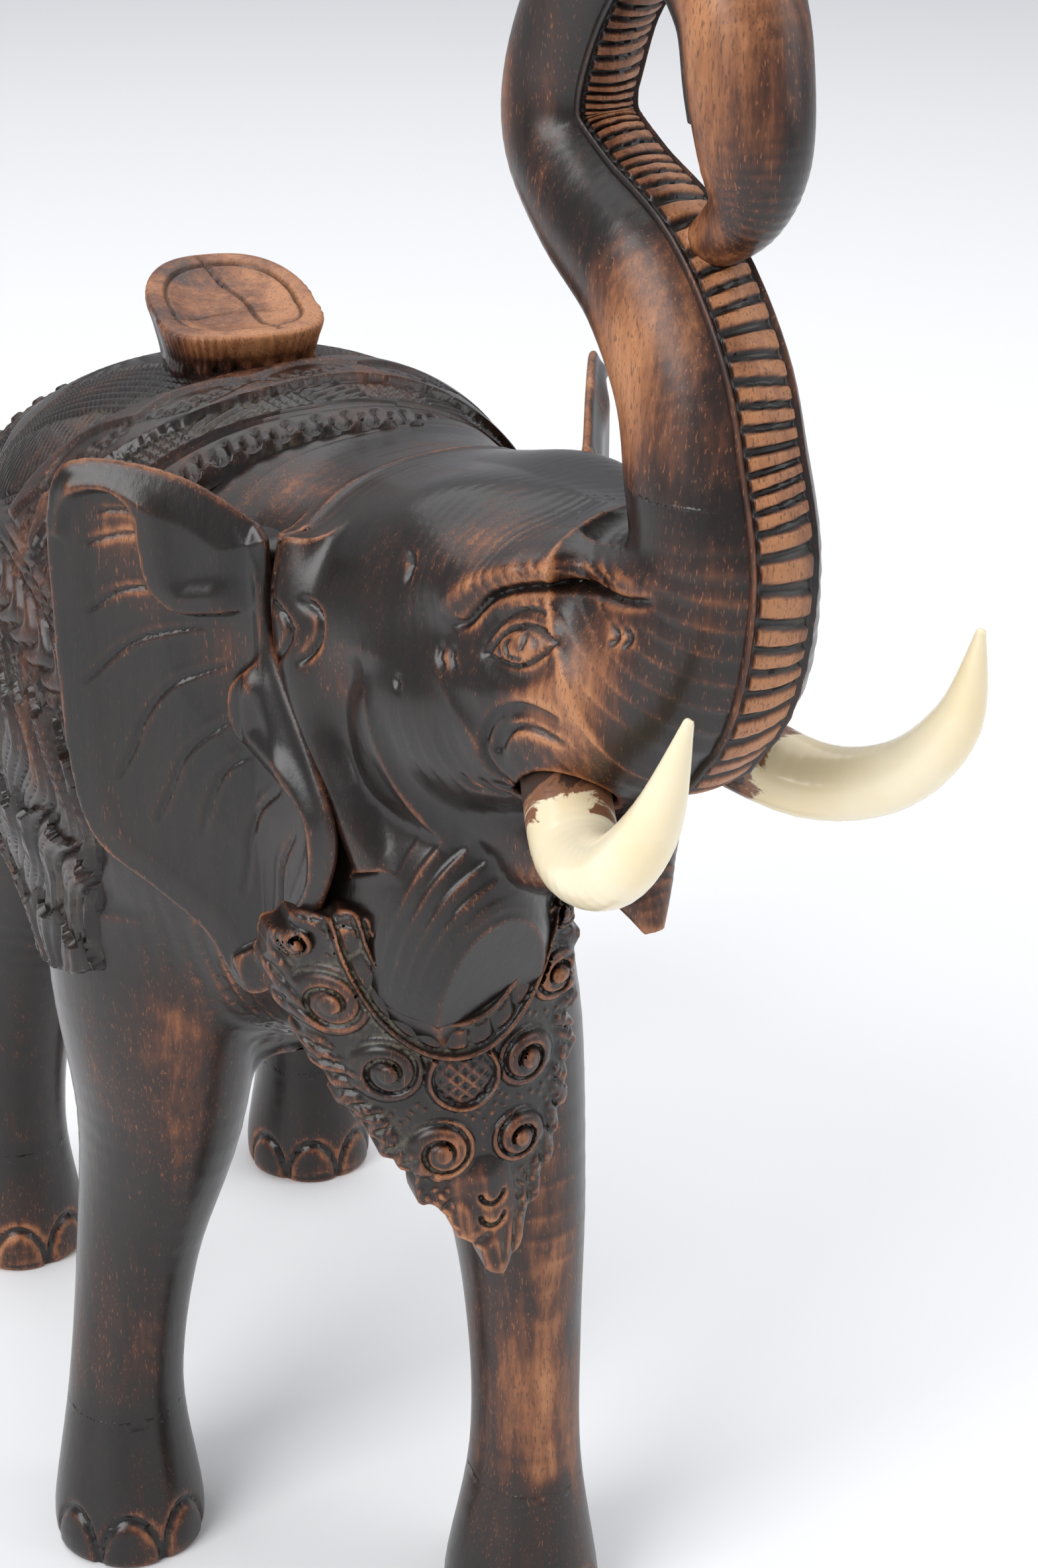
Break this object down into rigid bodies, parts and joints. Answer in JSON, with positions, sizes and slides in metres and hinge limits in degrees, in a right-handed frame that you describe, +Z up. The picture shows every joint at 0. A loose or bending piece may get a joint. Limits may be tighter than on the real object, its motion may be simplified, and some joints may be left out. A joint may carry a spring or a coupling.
{
  "type": "carved elephant figurine",
  "caption": "Carved dark hardwood elephant, walking, with a closed raised trunk loop, pale inset tusks, fitted ears, a carved saddle cloth and seat, and a chest ornament.",
  "frame": {"origin": "centre of the figure's outline seen from above, on the surface that it stands on", "axes": "+Z up, the body faces -Y, the elephant's left side is +X"},
  "size_m": [0.1896, 0.4161, 0.4586],
  "materials": {
    "dark_wood": "satin lacquer over dark stain, rubbed to orange brown on edges",
    "worn_wood": "rubbed-back stain with satin lacquer",
    "tusk": "polished ivory-coloured resin or bone substitute",
    "dowel_wood": "plain turned dowel, glued"
  },
  "bodies": {
    "root": {"body_block": "dark_wood", "head_block": "dark_wood", "seat": "worn_wood", "chest_ornament": "worn_wood", "right_ear": "dark_wood", "left_ear": "dark_wood", "right_tusk": "tusk", "left_tusk": "tusk", "tail": "dark_wood", "trunk_plug": "dark_wood", "neck_dowels": "dowel_wood", "seat_dowels": "dowel_wood", "right_ear_dowels": "dowel_wood", "left_ear_dowels": "dowel_wood", "ornament_pegs": "dowel_wood"}
  },
  "joints": []
}
